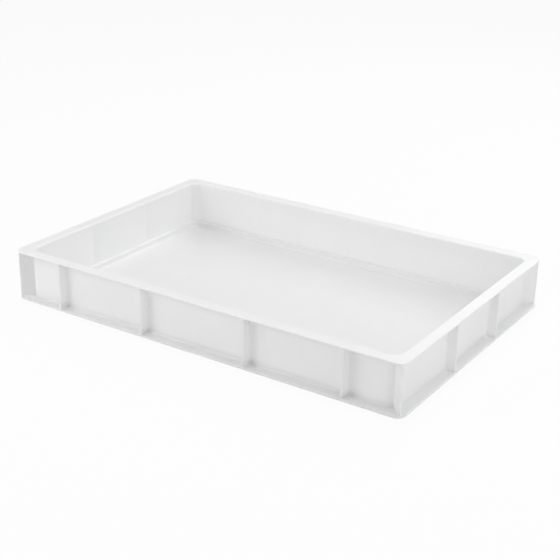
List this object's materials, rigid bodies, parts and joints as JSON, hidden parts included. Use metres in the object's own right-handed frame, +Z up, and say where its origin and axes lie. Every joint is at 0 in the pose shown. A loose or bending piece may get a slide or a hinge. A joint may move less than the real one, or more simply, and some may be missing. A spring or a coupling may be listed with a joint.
{
  "type": "dough proofing tray",
  "caption": "Shallow rectangular moulded plastic tray for proofing dough, with a flat rim, a matching base flange, upright ribs between them and a low stacking foot.",
  "frame": {"origin": "middle of the flat underside", "axes": "+X along the long walls, +Y from the front wall to the back wall, +Z up out of the mouth"},
  "size_m": [0.6, 0.4, 0.075],
  "materials": {
    "white_plastic": "satin, slightly translucent food-grade polyethylene"
  },
  "bodies": {
    "root": {"back_base_flange": "white_plastic", "back_foot": "white_plastic", "back_left_base_flange_corner": "white_plastic", "back_left_corner_web": "white_plastic", "back_left_foot_corner": "white_plastic", "back_left_rim_corner": "white_plastic", "back_left_wall_corner": "white_plastic", "back_rib_1": "white_plastic", "back_rib_2": "white_plastic", "back_rib_3": "white_plastic", "back_rib_4": "white_plastic", "back_right_base_flange_corner": "white_plastic", "back_right_corner_web": "white_plastic", "back_right_foot_corner": "white_plastic", "back_right_rim_corner": "white_plastic", "back_right_wall_corner": "white_plastic", "back_rim": "white_plastic", "back_wall": "white_plastic", "floor_panel": "white_plastic", "front_base_flange": "white_plastic", "front_foot": "white_plastic", "front_left_base_flange_corner": "white_plastic", "front_left_corner_web": "white_plastic", "front_left_foot_corner": "white_plastic", "front_left_rim_corner": "white_plastic", "front_left_wall_corner": "white_plastic", "front_rib_1": "white_plastic", "front_rib_2": "white_plastic", "front_rib_3": "white_plastic", "front_rib_4": "white_plastic", "front_right_base_flange_corner": "white_plastic", "front_right_corner_web": "white_plastic", "front_right_foot_corner": "white_plastic", "front_right_rim_corner": "white_plastic", "front_right_wall_corner": "white_plastic", "front_rim": "white_plastic", "front_wall": "white_plastic", "left_base_flange": "white_plastic", "left_foot": "white_plastic", "left_rib_1": "white_plastic", "left_rib_2": "white_plastic", "left_rim": "white_plastic", "left_wall": "white_plastic", "right_base_flange": "white_plastic", "right_foot": "white_plastic", "right_rib_1": "white_plastic", "right_rib_2": "white_plastic", "right_rim": "white_plastic", "right_wall": "white_plastic"}
  },
  "joints": []
}
